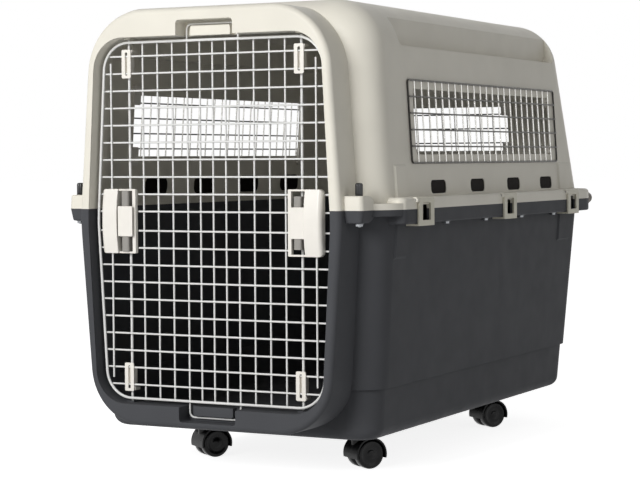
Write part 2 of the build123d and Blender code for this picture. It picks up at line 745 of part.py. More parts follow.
def upright_at(side, end, inner):
    """Plane across a lock rod at a height from the door's middle, facing away from the middle."""
    place = Vector(side * ROD_X, DOOR_Y + ROD_BACK, DOOR_Z + end * inner)
    return Plane(origin=place, x_dir=(1, 0, 0), z_dir=(0, 0, end))


tab_face = LATCH_DEPTH - TAB_SET
sleeve_front = tab_face - TAB_T - SLIDE_GAP + ROD_BACK
sleeve_back = ROD_D / 2 + GUIDE_WALL

for side_name, side in SIDES.items():
    for end_name, end in ENDS.items():
        shift = rest_shift[side_name]
        with BuildPart() as rod:
            with BuildSketch(upright_at(side, end, rod_inner + shift - ROD_TRAVEL)):
                Circle(ROD_D / 2)
            extrude(amount=mouth - TIP_GAP - rod_inner + ROD_TRAVEL)
            chamfer(rod.faces().sort_by(Axis.Z)[-1 if end > 0 else 0].edges(), ROD_D / 5)
        save(rod.part, f"{side_name}_{end_name}_lock_rod")
        with BuildPart() as sleeve:
            with BuildSketch(upright_at(side, end, SLEEVE_IN + shift - ROD_TRAVEL)):
                with Locations((0, -end * (sleeve_front - sleeve_back) / 2)):
                    Rectangle(SLEEVE_W, sleeve_front + sleeve_back)
            extrude(amount=SLEEVE_L)
            front_edges = sleeve.edges().filter_by(Axis.Z).group_by(Axis.Y)[0]
            fillet(front_edges, SLEEVE_R)
            with BuildSketch(upright_at(side, end, 0)):
                Circle(ROD_D / 2 + WELD)
            extrude(amount=LATCH_H, mode=Mode.SUBTRACT)
        save(sleeve.part, f"{side_name}_{end_name}_rod_sleeve")

cell_mid = row_heights[-1] - MESH_PITCH / 2
cell_h = MESH_PITCH - MESH_WIRE - 2 * WELD
guide_mid = cell_mid + GUIDE_RISE
guide_back = ROD_BACK + ROD_D / 2 + ROD_GAP + GUIDE_WALL
hook_mid = guide_mid + GUIDE_L / 2 - HOOK_H / 2

with BuildPart() as rod_guides:
    for side in SIDES.values():
        for end in ENDS.values():
            spot = (side * ROD_X, end * guide_mid)
            with BuildSketch(DOOR_PLANE.offset(MESH_FRONT)):
                with Locations(spot):
                    RectangleRounded(GUIDE_W, GUIDE_L, GUIDE_R)
            extrude(amount=GUIDE_WALL)
            with BuildSketch(DOOR_PLANE.offset(MESH_FRONT)):
                with Locations((side * ROD_X, end * cell_mid)):
                    Rectangle(GUIDE_W - 2 * GUIDE_WALL, cell_h)
            extrude(amount=-(MESH_FRONT + guide_back))
            with BuildSketch(DOOR_PLANE.offset(-(guide_back - GUIDE_WALL))):
                with Locations((side * ROD_X, end * (cell_mid + hook_mid + HOOK_H / 2) / 2)):
                    Rectangle(HOOK_W, hook_mid + HOOK_H / 2 - cell_mid)
            extrude(amount=-GUIDE_WALL)
            with BuildSketch(DOOR_PLANE.offset(-(guide_back - GUIDE_WALL))):
                with Locations((side * ROD_X, end * hook_mid)):
                    Rectangle(HOOK_W, HOOK_H)
            extrude(amount=-(HOOK_REACH - guide_back + GUIDE_WALL))
            with BuildSketch(DOOR_PLANE.offset(MESH_FRONT + GUIDE_WALL)):
                with Locations(spot):
                    SlotOverall(GUIDE_L - 2 * GUIDE_SLIT, GUIDE_SLIT, rotation=90)
            extrude(amount=-(MESH_FRONT + GUIDE_WALL), mode=Mode.SUBTRACT)
    with BuildSketch(Plane.XY.offset(DOOR_Z)):
        with Locations(*[(side * ROD_X, DOOR_Y + ROD_BACK) for side in SIDES.values()]):
            Circle(ROD_D / 2 + ROD_GAP)
    extrude(amount=DOORWAY_H / 2, both=True, mode=Mode.SUBTRACT)
save(rod_guides.part, "rod_guides")

# ================================================================== latches
grip_in = LATCH_OUT - GRIP_W
bridge_front = MESH_FRONT + BRIDGE_T


def one_side(part, side):
    """The right-hand part, or its mirror image on the left."""
    return part if side > 0 else mirror(part, about=Plane.YZ)


with BuildPart() as right_housing:
    with BuildSketch(Plane.YZ.offset(grip_in)):
        back = DOOR_Y - MESH_FRONT
        edge = DOOR_Y - LATCH_DEPTH + GRIP_CROWN
        low = (edge, DOOR_Z - half_latch)
        high = (edge, DOOR_Z + half_latch)
        with BuildLine():
            ThreePointArc(low, (DOOR_Y - LATCH_DEPTH, DOOR_Z), high)
            Polyline(high, (back, high[1]), (back, low[1]), low)
        make_face()
    extrude(amount=GRIP_W)
    outer_face = right_housing.faces().sort_by(Axis.X)[-1]
    fillet(outer_face.edges().sort_by(Axis.Y)[:-1], GRIP_SIDE_R)
    inner_face = right_housing.faces().sort_by(Axis.X)[0]
    fillet(inner_face.edges().sort_by(Axis.Y)[:-1], GRIP_EDGE_R)
    with BuildSketch(Plane.YZ.offset(grip_in)):
        pocket_back = DOOR_Y - bridge_front
        pocket_front = DOOR_Y - tab_face - SLIDE_GAP
        with Locations(((pocket_back + pocket_front) / 2, DOOR_Z)):
            Rectangle(pocket_back - pocket_front, TAB_H + 2 * SLIDE_GAP)
    extrude(amount=TAB_TRAVEL - TAB_SHOW + SLIDE_GAP, mode=Mode.SUBTRACT)
    with BuildSketch(Plane.XY.offset(DOOR_Z)):
        with Locations((STUB_X, DOOR_Y - STUB_OUT)):
            Circle(MESH_R + WELD)
        with Locations((STUB_X, DOOR_Y - STUB_OUT / 2)):
            Rectangle(2 * (MESH_R + WELD), STUB_OUT)
    extrude(amount=LATCH_H, both=True, mode=Mode.SUBTRACT)
    with BuildSketch(DOOR_PLANE.offset(MESH_FRONT)):
        with Locations((LATCH_IN + RAIL_W / 2, 0)):
            RectangleRounded(RAIL_W, LATCH_H, RAIL_R)
    extrude(amount=RAIL_DEPTH - MESH_FRONT)
    with BuildSketch(DOOR_PLANE.offset(MESH_FRONT)):
        with Locations(((LATCH_IN + grip_in) / 2, 0)):
            Rectangle(grip_in - LATCH_IN, BRIDGE_H)
    extrude(amount=BRIDGE_T)
    with BuildSketch(DOOR_PLANE.offset(MESH_FRONT)):
        for end in ENDS.values():
            with Locations(((LATCH_IN + RAIL_W + grip_in) / 2, end * (LATCH_H - LATCH_BAR) / 2)):
                Rectangle(grip_in - LATCH_IN - RAIL_W + 2 * RAIL_R, LATCH_BAR)
    extrude(amount=RAIL_DEPTH - MESH_FRONT)
    with BuildSketch(DOOR_PLANE.offset(MESH_FRONT)):
        with Locations((ROD_X, 0)):
            Rectangle(SPRING_D + 2 * SPRING_WIRE, SPRING_SEAT)
    extrude(amount=-(MESH_FRONT + ROD_BACK + SPRING_D / 2))

for side_name, side in SIDES.items():
    save(one_side(right_housing.part, side), f"{side_name}_latch_housing")

for side_name, side in SIDES.items():
    tab_out = grip_in - TAB_SHOW + (TAB_TRAVEL if side > 0 else 0)
    with BuildPart() as tab:
        with BuildSketch(DOOR_PLANE.offset(tab_face)):
            with Locations((tab_out - TAB_W / 2, 0)):
                RectangleRounded(TAB_W, TAB_H, TAB_T)
        extrude(amount=-TAB_T)
        fillet(tab.faces().sort_by(Axis.Y)[0].edges(), TAB_T / 3)
        with BuildSketch(DOOR_PLANE.offset(tab_face - TAB_T)):
            with Locations((tab_out - TAB_WEB / 2, 0)):
                Rectangle(TAB_WEB, TAB_H - 2 * TAB_T)
        extrude(amount=-(tab_face - TAB_T - bridge_front - SLIDE_GAP))
    save(one_side(tab.part, side), f"{side_name}_latch_tab")

for side_name, side in SIDES.items():
    for end_name, end in ENDS.items():
        start = SPRING_SEAT / 2 + SPRING_WIRE / 2 + WELD
        length = SLEEVE_IN + rest_shift[side_name] - ROD_TRAVEL - start - SPRING_WIRE / 2 - WELD
        with BuildPart() as spring:
            seat = upright_at(side, end, start)
            with BuildLine() as coil:
                Helix(length / SPRING_TURNS, length, SPRING_D / 2, center=seat.origin, direction=seat.z_dir)
            with BuildSketch(Plane(origin=coil.line @ 0, z_dir=coil.line % 0)):
                Circle(SPRING_WIRE / 2)
            sweep(is_frenet=True)
        save(spring.part, f"{side_name}_{end_name}_latch_spring")

# ================================================================== side clips
hook_top = SPLIT_Z - FLANGE_DOWN - CLIP_GAP
clip_back = TIP_X + CLIP_GAP

for number, y in enumerate(CLIPS, start=1):
    middle = DOOR_Y + y
    with BuildPart() as clip:
        with BuildSketch(Plane.XZ.offset(-(middle + CLIP_L / 2))):
            with Locations((clip_pin_x, clip_pin_z)):
                Circle(CLIP_BARREL_D / 2)
            plate_h = clip_pin_z - hook_top + CLIP_HOOK_T
            with Locations((clip_back + CLIP_T / 2, clip_pin_z - plate_h / 2)):
                Rectangle(CLIP_T, plate_h)
            with Locations((clip_back + (CLIP_T - CLIP_HOOK) / 2, hook_top - CLIP_HOOK_T / 2)):
                Rectangle(CLIP_HOOK + CLIP_T, CLIP_HOOK_T)
            with Locations((clip_pin_x, clip_pin_z)):
                Circle(CLIP_PIN_D / 2 + CLIP_PIN_GAP, mode=Mode.SUBTRACT)
        extrude(amount=CLIP_L)
        with BuildSketch(Plane.YZ.offset(TIP_X)):
            with Locations((middle, clip_pin_z - (CLIP_BARREL_D + CLIP_SLOT_H) / 2)):
                RectangleRounded(CLIP_SLOT_L, CLIP_SLOT_H, CLIP_T / 2)
        extrude(amount=4 * CLIP_T, mode=Mode.SUBTRACT)
    for side_name, side in SIDES.items():
        save(one_side(clip.part, side), f"{side_name}_clip_{number}")

with BuildPart() as clip_pins:
    pin_l = CLIP_L + 2 * (CLIP_GAP + CLIP_EAR_T)
    for y in CLIPS:
        with BuildSketch(Plane.XZ.offset(-(DOOR_Y + y + pin_l / 2))):
            with Locations((clip_pin_x, clip_pin_z)):
                Circle(CLIP_PIN_D / 2)
        extrude(amount=pin_l)
    mirror(about=Plane.YZ)
save(clip_pins.part, "clip_pins")

# ================================================================== fasteners
with BuildPart() as knob_bolts:
    with BuildSketch(Plane.XY.offset(SPLIT_Z + LUG_UP)):
        with Locations(*lug_spots):
            Circle(KNOB_D / 2)
    extrude(amount=KNOB_H)
    knob_tops = knob_bolts.faces().filter_by(Axis.Z).group_by(Axis.Z)[-1]
    fillet(knob_tops.edges(), KNOB_D / 8)
    with BuildSketch(Plane.XY.offset(SPLIT_Z + LUG_UP)):
        with Locations(*lug_spots):
            Circle(LUG_BOLT_D / 2)
    extrude(amount=-(LUG_UP + LUG_DOWN + NUT_H + HOLE_GAP))
save(knob_bolts.part, "knob_bolts")

with BuildPart() as lug_nuts:
    with BuildSketch(Plane.XY.offset(SPLIT_Z - LUG_DOWN)):
        with Locations(*lug_spots):
            RegularPolygon(NUT_AF / 2, 6, major_radius=False)
        with Locations(*lug_spots):
            Circle(LUG_BOLT_D / 2 + WELD, mode=Mode.SUBTRACT)
    extrude(amount=-NUT_H)
save(lug_nuts.part, "lug_nuts")

with BuildPart() as flange_screws:
    with BuildSketch(Plane.XY.offset(SPLIT_Z - FLANGE_DOWN)):
        with Locations(*screw_spots):
            RegularPolygon(SCREW_HEAD_AF / 2, 6, major_radius=False)
    extrude(amount=-SCREW_HEAD_H)
    with BuildSketch(Plane.XY.offset(SPLIT_Z - FLANGE_DOWN)):
        with Locations(*screw_spots):
            Circle(SCREW_D / 2)
    extrude(amount=SCREW_L)
save(flange_screws.part, "flange_screws")

with BuildPart() as corner_studs:
    for side in SIDES.values():
        with BuildSketch(stud_plane(side, -WELD)):
            Circle(STUD_D / 2)
        extrude(amount=STUD_OUT)
        with BuildSketch(stud_plane(side, FLANGE_SKIN + STUD_SHANK_L / 2)):
            Circle(STUD_SHANK_D / 2)
        extrude(amount=2 * FLANGE_SKIN)
    domes = corner_studs.edges().filter_by(GeomType.CIRCLE).group_by(SortBy.RADIUS)[-1]
    far = domes.sort_by(lambda e: e.center().Y)[-2:]
    fillet(far, STUD_OUT * 0.6)
save(corner_studs.part, "corner_studs")


# ================================================================== window grilles
def grille(plane, length, height):
    """Grille over one window: a bent edge wire, uprights on the wall and rows outside them."""
    half_l = length / 2 + GRILLE_END_LAP
    half_h = height / 2 + GRILLE_LAP
    seat = plane * Location((0, WINDOW_RISE, 0))
    edge_plane = Plane(seat).offset(GRILLE_EDGE_WIRE / 2 + WELD)
    upright_plane = Plane(seat).offset(GRILLE_WIRE / 2 + WELD)
    row_plane = upright_plane.offset(GRILLE_WIRE + WELD)
    inner_l = half_l - GRILLE_EDGE_WIRE / 2 - WELD
    inner_h = half_h - GRILLE_EDGE_WIRE / 2 - WELD
    count = int(2 * half_l / GRILLE_PITCH)
    pitch = 2 * half_l / count
    upright_runs = [(-half_l + k * pitch, -inner_h, inner_h) for k in range(1, count)]
    count = round(2 * half_h / GRILLE_PITCH)
    pitch = 2 * half_h / count
    row_runs = [(-half_h + k * pitch, -inner_l, inner_l) for k in range(1, count)]
    with BuildPart() as screen:
        add(bent_loop(edge_plane, box_points(half_l, half_h), [GRILLE_R] * 4, GRILLE_EDGE_WIRE))
        add(wires(upright_plane, GRILLE_WIRE, upright_runs, True))
        add(wires(row_plane, GRILLE_WIRE, row_runs, False))
    return screen.part


side_grille = grille(SIDE_PLANE, WINDOW_L, WINDOW_H)
for side_name, side in SIDES.items():
    save(one_side(side_grille, side), f"{side_name}_window_grille")
save(grille(REAR_PLANE, REAR_WINDOW_W, REAR_WINDOW_H), "rear_window_grille")


def retainers(plane, length, height):
    """Corner blocks inside a window that hold its grille to the wall."""
    with BuildPart() as blocks:
        for along in (-1, 1):
            for end in ENDS.values():
                corner = (along * length / 2, WINDOW_RISE + end * height / 2)
                with BuildSketch(plane.offset(-WALL - WELD)):
                    with Locations(corner):
                        RectangleRounded(RETAINER_L, RETAINER_H, RETAINER_R)
                extrude(amount=-RETAINER_T)
                inside = (corner[0] - along * RETAINER_PEG, corner[1] - end * RETAINER_PEG)
                with BuildSketch(plane.offset(-WALL - WELD)):
                    with Locations(inside):
                        Rectangle(RETAINER_PEG, RETAINER_PEG)
                extrude(amount=WALL)
    return blocks.part


with BuildPart() as window_retainers:
    add(retainers(SIDE_PLANE, WINDOW_L, WINDOW_H))
    mirror(about=Plane.YZ)
    add(retainers(REAR_PLANE, REAR_WINDOW_W, REAR_WINDOW_H))
save(window_retainers.part, "window_retainers")

with BuildPart() as vent_inserts:
    vent_spots = [(y - WINDOW_MID, VENT_RISE) for y in VENTS]
    with BuildSketch(SIDE_PLANE.offset(-VENT_SET)):
        with Locations(*vent_spots):
            RectangleRounded(VENT_L - 2 * VENT_GAP, VENT_H - 2 * VENT_GAP, VENT_R - VENT_GAP)
    extrude(amount=-(WALL + WELD - VENT_SET))
    with BuildSketch(SIDE_PLANE.offset(-WALL - WELD)):
        with Locations(*vent_spots):
            RectangleRounded(VENT_L + 2 * VENT_LIP, VENT_H + 2 * VENT_LIP, VENT_R + VENT_LIP)
    extrude(amount=-VENT_LIP / 2)
    mirror(about=Plane.YZ)
save(vent_inserts.part, "vent_inserts")

# ================================================================== casters
axle_z = WHEEL_D / 2
hood_r = WHEEL_D / 2 + HOOD_GAP + HOOD_T
fork_half = WEB_T / 2 + PIN_GAP + WHEEL_W
plate_z = BASE_Z - PLATE_T
swivel_z = plate_z - SWIVEL_GAP


def caster(name, x, stem_y):
    """One swivel caster: floor plate with stem, hood, twin wheels and axle."""
    axle_y = stem_y + TRAIL
    stem = Axis((x, stem_y, 0), (0, 0, 1))
    with BuildPart() as plate:
        with BuildSketch(Plane.XY.offset(plate_z)):
            with Locations((x, stem_y)):
                Circle(PLATE_D / 2)
        extrude(amount=PLATE_T)
        with BuildSketch(Plane.XY.offset(plate_z)):
            with Locations((x, stem_y)):
                Circle(STEM_D / 2)
        extrude(amount=-STEM_L)
    save(plate.part, f"{name}_caster_plate")
    with BuildPart() as hood:
        with BuildSketch(Plane.YZ.offset(x - fork_half - HOOD_T / 2)):
            with Locations((axle_y, axle_z)):
                Circle(hood_r)
            with Locations((axle_y, axle_z - hood_r)):
                Rectangle(4 * hood_r, 2 * hood_r - 2 * AXLE_D, mode=Mode.SUBTRACT)
        extrude(amount=2 * fork_half + HOOD_T)
        with BuildSketch(Plane.XY.offset(axle_z + AXLE_D)):
            with Locations((x, stem_y)):
                Circle(BOSS_R)
        extrude(amount=swivel_z - axle_z - AXLE_D)
        for side in SIDES.values():
            with BuildSketch(Plane.YZ.offset(x + side * WEB_T / 2)):
                with Locations((axle_y, axle_z)):
                    Circle(WHEEL_D / 2 + HOOD_GAP)
            extrude(amount=side * 2 * fork_half, mode=Mode.SUBTRACT)
        with BuildSketch(Plane.YZ.offset(x - WEB_T / 2)):
            with Locations((axle_y, axle_z)):
                Circle(AXLE_D * 1.2)
            with Locations(((axle_y + stem_y) / 2, axle_z + AXLE_D)):
                Rectangle(TRAIL + AXLE_D, 2 * AXLE_D)
        extrude(amount=WEB_T)
        with BuildSketch(Plane.YZ.offset(x - WEB_T)):
            with Locations((axle_y, axle_z)):
                Circle(AXLE_D / 2 + PIN_GAP)
        extrude(amount=2 * WEB_T, mode=Mode.SUBTRACT)
        with BuildSketch(Plane.XY.offset(plate_z)):
            with Locations((x, stem_y)):
                Circle(STEM_D / 2 + PIN_GAP)
        extrude(amount=-(STEM_L + SWIVEL_GAP), mode=Mode.SUBTRACT)
    save(hood.part.rotate(stem, CASTER_TURN), f"{name}_caster_hood")
    with BuildPart() as wheels:
        for side in SIDES.values():
            with BuildSketch(Plane.YZ.offset(x + side * (WEB_T / 2 + WHEEL_GAP))):
                with Locations((axle_y, axle_z)):
                    Circle(WHEEL_D / 2)
            extrude(amount=side * (WHEEL_W - WHEEL_GAP))
        rims = wheels.edges().filter_by(GeomType.CIRCLE).group_by(SortBy.RADIUS)[-1]
        fillet(rims, WHEEL_GAP)
        with BuildSketch(Plane.YZ.offset(x - fork_half)):
            with Locations((axle_y, axle_z)):
                Circle(AXLE_D / 2 + PIN_GAP)
        extrude(amount=2 * fork_half, mode=Mode.SUBTRACT)
    save(wheels.part.rotate(stem, CASTER_TURN), f"{name}_caster_wheels")
    with BuildPart() as axle:
        with BuildSketch(Plane.YZ.offset(x - fork_half + WHEEL_GAP)):
            with Locations((axle_y, axle_z)):
                Circle(AXLE_D / 2)
        extrude(amount=2 * (fork_half - WHEEL_GAP))
    save(axle.part.rotate(stem, CASTER_TURN), f"{name}_caster_axle")


for depth_name, depth in (("front", CASTER_FRONT), ("rear", CASTER_REAR)):
    for side_name, side in SIDES.items():
        caster(f"{depth_name}_{side_name}", side * CASTER_X, DOOR_Y + depth)
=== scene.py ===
"""Looks of a pet transport carrier: moulded shells, wire door with rod locks, wire windows and casters."""

import math

import bmesh
import bpy
from mathutils import Matrix, Vector


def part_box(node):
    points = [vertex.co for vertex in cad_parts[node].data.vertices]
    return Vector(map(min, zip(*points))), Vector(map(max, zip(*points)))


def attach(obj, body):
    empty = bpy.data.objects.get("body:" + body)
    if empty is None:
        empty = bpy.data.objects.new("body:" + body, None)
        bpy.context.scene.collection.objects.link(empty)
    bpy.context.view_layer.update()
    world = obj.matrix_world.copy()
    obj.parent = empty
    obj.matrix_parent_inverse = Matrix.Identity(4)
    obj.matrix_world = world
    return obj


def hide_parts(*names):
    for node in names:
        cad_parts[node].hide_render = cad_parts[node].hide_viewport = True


bl_info = {
    "name": "Pet Transport Carrier",
    "version": (1, 0, 0),
    "blender": (4, 5, 0),
    "location": "View3D > Sidebar > Carrier",
    "description": "Dresses the carrier's solids with moulded, coated and plated finishes",
    "category": "Add Mesh",
}

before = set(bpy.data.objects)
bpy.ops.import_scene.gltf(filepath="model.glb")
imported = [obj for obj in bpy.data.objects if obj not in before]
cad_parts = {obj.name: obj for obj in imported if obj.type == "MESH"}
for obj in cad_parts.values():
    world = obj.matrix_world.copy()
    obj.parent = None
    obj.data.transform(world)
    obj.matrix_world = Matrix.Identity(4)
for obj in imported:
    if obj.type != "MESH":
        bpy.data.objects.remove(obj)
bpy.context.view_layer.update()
MM = 0.001
ENDS = ("upper", "lower")
SIDES = ("left", "right")
CASTERS = ("front_left", "front_right", "rear_left", "rear_right")
EDGE_MM = 0.6            # eased edges of the mouldings, shown in the shading
SIDE_LEAN = 3.7          # lean of the side windows, degrees
REAR_LEAN = 8.5
CREST_MM = 1.5           # how far the cross wires stand out past the edge wire
HUB_FLAT_R = 0.4         # small flat face on the axis of a turned wheel, mm
SHANK_R = 3.0            # bolt under a knob, mm
SHANK_TIP_R = 2.4
SHANK_TIP_H = 0.6
KEY_SIZE = 1.8           # widths of the square lamps and half the floor, metres
FILL_SIZE = 2.0
FLOOR_HALF = 30
FLUTES = 12
FLUTE_SHARE = 0.09       # depth of a flute as a share of the knob's radius


# ------------------------------------------------------------------ helpers
def linear(hex_colour):
    """Turn an sRGB hex colour into linear red, green, blue."""
    channels = [int(hex_colour[i:i + 2], 16) / 255 for i in (1, 3, 5)]
    return tuple(c / 12.92 if c <= 0.04045 else ((c + 0.055) / 1.055) ** 2.4 for c in channels)


def opaque(colour):
    return (*colour[:3], 1.0)


def lighter(colour, factor):
    """Colour a few percent lighter or darker, for the mottling of a finish."""
    return tuple(min(1.0, c * factor) for c in colour[:3])


def add(tree, kind, settings=None, links=None):
    """Add a node to a tree, set its inputs and properties, and link its inputs to other nodes."""
    node = tree.nodes.new(kind)
    for key, value in (settings or {}).items():
        if isinstance(key, int) or (key in node.inputs and not hasattr(node, key)):
            node.inputs[key].default_value = value
        else:
            setattr(node, key, value)
    for key, source in (links or {}).items():
        tree.links.new(source, node.inputs[key])
    return node


def start_material(name):
    """New node material with only its output, and object coordinates to read."""
    material = bpy.data.materials.new(name)
    material.use_nodes = True
    tree = material.node_tree
    tree.nodes.clear()
    place = add(tree, "ShaderNodeTexCoord").outputs["Object"]
    return material, tree, place


def end_material(tree, shader):
    add(tree, "ShaderNodeOutputMaterial", None, {"Surface": shader.outputs[0]})


def noise(tree, place, size_mm, detail=2.0):
    """Noise whose features are size_mm across on the real thing."""
    settings = {"Scale": 1 / (size_mm * MM), "Detail": detail}
    return add(tree, "ShaderNodeTexNoise", settings, {"Vector": place}).outputs["Fac"]


def spread(tree, value, low, high):
    """Stretch the middle of a noise value to a range."""
    settings = {"From Min": 0.3, "From Max": 0.7, "To Min": low, "To Max": high}
    return add(tree, "ShaderNodeMapRange", settings, {"Value": value}).outputs["Result"]


def mottled(tree, place, colour, size_mm, share):
    """Colour that wanders by a small share over patches of size_mm."""
    patch = spread(tree, noise(tree, place, size_mm), 0.0, 1.0)
    settings = {"data_type": "RGBA", 6: opaque(lighter(colour, 1 - share)),
                7: opaque(lighter(colour, 1 + share))}
    return add(tree, "ShaderNodeMix", settings, {0: patch}).outputs[2]


def moulded(name, colour, roughness, grain_mm, grain_depth_mm, shine=0.5, patch_mm=70.0, share=0.03):
    """Injection-moulded plastic: even colour, fine spark-eroded grain, slightly eased edges."""
    material, tree, place = start_material(name)
    soft = add(tree, "ShaderNodeBevel", {"samples": 4, "Radius": EDGE_MM * MM}).outputs[0]
    grain = noise(tree, place, grain_mm, 3.0)
    bump = add(tree, "ShaderNodeBump", {"Strength": 1.0, "Distance": grain_depth_mm * MM},
               {"Height": grain, "Normal": soft}).outputs[0]
    gloss = spread(tree, noise(tree, place, patch_mm * 0.4), roughness - 0.04, roughness + 0.04)
    shader = add(tree, "ShaderNodeBsdfPrincipled", {"IOR": 1.49, "Specular IOR Level": shine},
                 {"Base Color": mottled(tree, place, colour, patch_mm, share),
                  "Roughness": gloss, "Normal": bump})
    end_material(tree, shader)
    return material


def coated(name, colour, roughness, peel_mm, peel_depth_mm):
    """Powder-coated steel wire: smooth off-white skin with a faint orange peel."""
    material, tree, place = start_material(name)
    peel = noise(tree, place, peel_mm, 1.0)
    bump = add(tree, "ShaderNodeBump", {"Strength": 1.0, "Distance": peel_depth_mm * MM},
               {"Height": peel}).outputs[0]
    gloss = spread(tree, noise(tree, place, 30.0), roughness - 0.05, roughness + 0.05)
    shader = add(tree, "ShaderNodeBsdfPrincipled", {"IOR": 1.5, "Coat Weight": 0.15},
                 {"Base Color": mottled(tree, place, colour, 40.0, 0.03),
                  "Roughness": gloss, "Normal": bump})
    end_material(tree, shader)
    return material


def plated(name, colour, roughness, spangle_mm, spangle_depth_mm):
    """Plated steel: bare metal with a cloudy sheen from the plating bath."""
    material, tree, place = start_material(name)
    cloud = noise(tree, place, spangle_mm, 2.0)
    bump = add(tree, "ShaderNodeBump", {"Strength": 1.0, "Distance": spangle_depth_mm * MM},
               {"Height": cloud}).outputs[0]
    gloss = spread(tree, cloud, roughness - 0.06, roughness + 0.06)
    shader = add(tree, "ShaderNodeBsdfPrincipled", {"Metallic": 1.0},
                 {"Base Color": mottled(tree, place, colour, spangle_mm * 2, 0.06),
                  "Roughness": gloss, "Normal": bump})
    end_material(tree, shader)
    return material


def dress(node, material):
    """Give a CAD node its finish through its own material slots."""
    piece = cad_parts[node]
    for material_slot in piece.material_slots:
        material_slot.material = material


# ------------------------------------------------------------------ forms
def solids(node):
    """Corner points of each separate solid of a CAD node, in metres."""
    whole = bmesh.new()
    whole.from_mesh(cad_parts[node].data)
    bmesh.ops.remove_doubles(whole, verts=whole.verts, dist=0.01 * MM)
    left = set(whole.verts)
    found = []
    while left:
        front = [left.pop()]
        points = []
        while front:
            corner = front.pop()
            points.append(corner.co.copy())
            for edge in corner.link_edges:
                other = edge.other_vert(corner)
                if other in left:
                    left.remove(other)
                    front.append(other)
        found.append(points)
    whole.free()
    return found


def extent(points):
    """Lowest and highest corner of a list of points."""
    low = Vector(min(p[i] for p in points) for i in range(3))
    high = Vector(max(p[i] for p in points) for i in range(3))
    return low, high


def lathe(form, profile, place, axis, steps=48, flutes=0, flute_share=0.0):
    """Turn (radius, height) points in millimetres about an axis, with optional flutes round it."""
    turn = Vector(axis).to_track_quat("Z", "Y")
    rings = []
    for radius, height in profile:
        ring = []
        for k in range(steps):
            angle = 2 * math.pi * k / steps
            grip = 1 - flute_share * (0.5 + 0.5 * math.cos(flutes * angle)) if flutes else 1
            spot = Vector((radius * grip * math.cos(angle), radius * grip * math.sin(angle), height))
            ring.append(form.verts.new(turn @ (spot * MM) + Vector(place)))
        rings.append(ring)
    for low, high in zip(rings, rings[1:]):
        for k in range(steps):
            after = (k + 1) % steps
            form.faces.new((low[k], low[after], high[after], high[k]))
    form.faces.new(list(reversed(rings[0])))
    form.faces.new(rings[-1])


def finish_mesh(name, mesh, body, replaced):
    """Turn a mesh into a piece that rides on a body and stands for CAD nodes."""
    mesh.name = name
    piece = bpy.data.objects.new(name, mesh)
    bpy.context.scene.collection.objects.link(piece)
    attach(piece, body)
    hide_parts(*replaced)


def finish_form(name, form, material, body, replaced, sharp=35.0):
    """Turn a bmesh into a piece: smooth, but creased where it bends by more than sharp degrees."""
    for edge in form.edges:
        edge.smooth = edge.calc_face_angle(0) < math.radians(sharp)
    for face in form.faces:
        face.smooth = True
    mesh = bpy.data.meshes.new(name)
    form.to_mesh(mesh)
    form.free()
    mesh.materials.append(material)
    finish_mesh(name, mesh, body, replaced)


def new_tree(name, inputs):
    """Empty geometry node tree with named inputs and one geometry output."""
    tree = bpy.data.node_groups.new(name, "GeometryNodeTree")
    tree.interface.new_socket("Geometry", in_out="INPUT", socket_type="NodeSocketGeometry")
    for label, (kind, value) in inputs.items():
        socket = tree.interface.new_socket(label, in_out="INPUT", socket_type=kind)
        if value is not None:
            socket.default_value = value
    tree.interface.new_socket("Geometry", in_out="OUTPUT", socket_type="NodeSocketGeometry")
    return tree, add(tree, "NodeGroupInput").outputs


def grow(name, tree, points, inputs, bevel_mm=0.0):
    """Run a node tree on a mesh of points and return the result as a plain mesh."""
    seed = bpy.data.meshes.new(name)
    seed.from_pydata(points, [], [])
    holder = bpy.data.objects.new(name, seed)
    bpy.context.scene.collection.objects.link(holder)
    modifier = holder.modifiers.new("grow", "NODES")
    modifier.node_group = tree
    for item in tree.interface.items_tree:
        if item.in_out == "INPUT" and item.name in inputs:
            modifier[item.identifier] = inputs[item.name]
    if bevel_mm:
        soften = holder.modifiers.new("soften", "BEVEL")
        soften.width = bevel_mm * MM
        soften.segments = 2
        soften.limit_method = "ANGLE"
    bpy.context.view_layer.update()
    result = bpy.data.meshes.new_from_object(holder.evaluated_get(bpy.context.evaluated_depsgraph_get()))
    bpy.data.objects.remove(holder)
    bpy.data.meshes.remove(seed)
    return result


# ------------------------------------------------------------------ sizes and colours
def colour_prop(name, description, hex_colour):
    return bpy.props.FloatVectorProperty(
        name=name, description=description, subtype="COLOR", size=3, min=0, max=1,
        default=linear(hex_colour))


class CarrierColours(bpy.types.PropertyGroup):
    upper_shell: colour_prop("Upper shell", "Colour of the roof half", "#E0DCD0")
    lower_shell: colour_prop("Lower shell", "Colour of the floor half", "#4C4D50")
    wire: colour_prop("Door wire", "Colour of the powder coat on the door", "#DDDDDB")
    moulding: colour_prop("Latches", "Colour of latches, rod guides and retainers", "#E6E2DA")
    sleeve: colour_prop("Rod sleeves", "Colour of the sleeves on the lock rods", "#8F8C87")
    clip: colour_prop("Side clips", "Colour of the clips along the flange", "#CBC7B6")
    # Uprights and rows are one nickel plating: the light upright colour is a painted reflection, the dark row
    # colour is painted shade, also used on the grille's edge loop
    upright: colour_prop("Window uprights", "Tint of the bright upright wires", "#D9D8D4")
    row: colour_prop("Window rows", "Tint of the dark cross wires", "#3B3936")
    vent: colour_prop("Vents", "Colour of the vent inserts", "#15110F")
    stud: colour_prop("Corner studs", "Tint of the studs on the rear corners", "#5A5652")
    zinc: colour_prop("Fasteners", "Tint of the zinc on screws, nuts and studs", "#8A8C8F")
    knob: colour_prop("Knobs", "Colour of the knobs on the front lugs", "#17181A")
    wheel: colour_prop("Wheels", "Colour of the caster wheels", "#0C0C0E")
    hood: colour_prop("Caster hoods", "Colour of the caster hoods and plates", "#0E0E10")


def size_prop(name, description, default_mm):
    return bpy.props.FloatProperty(name=name, description=description, default=default_mm * MM,
                                   min=0, unit="LENGTH")


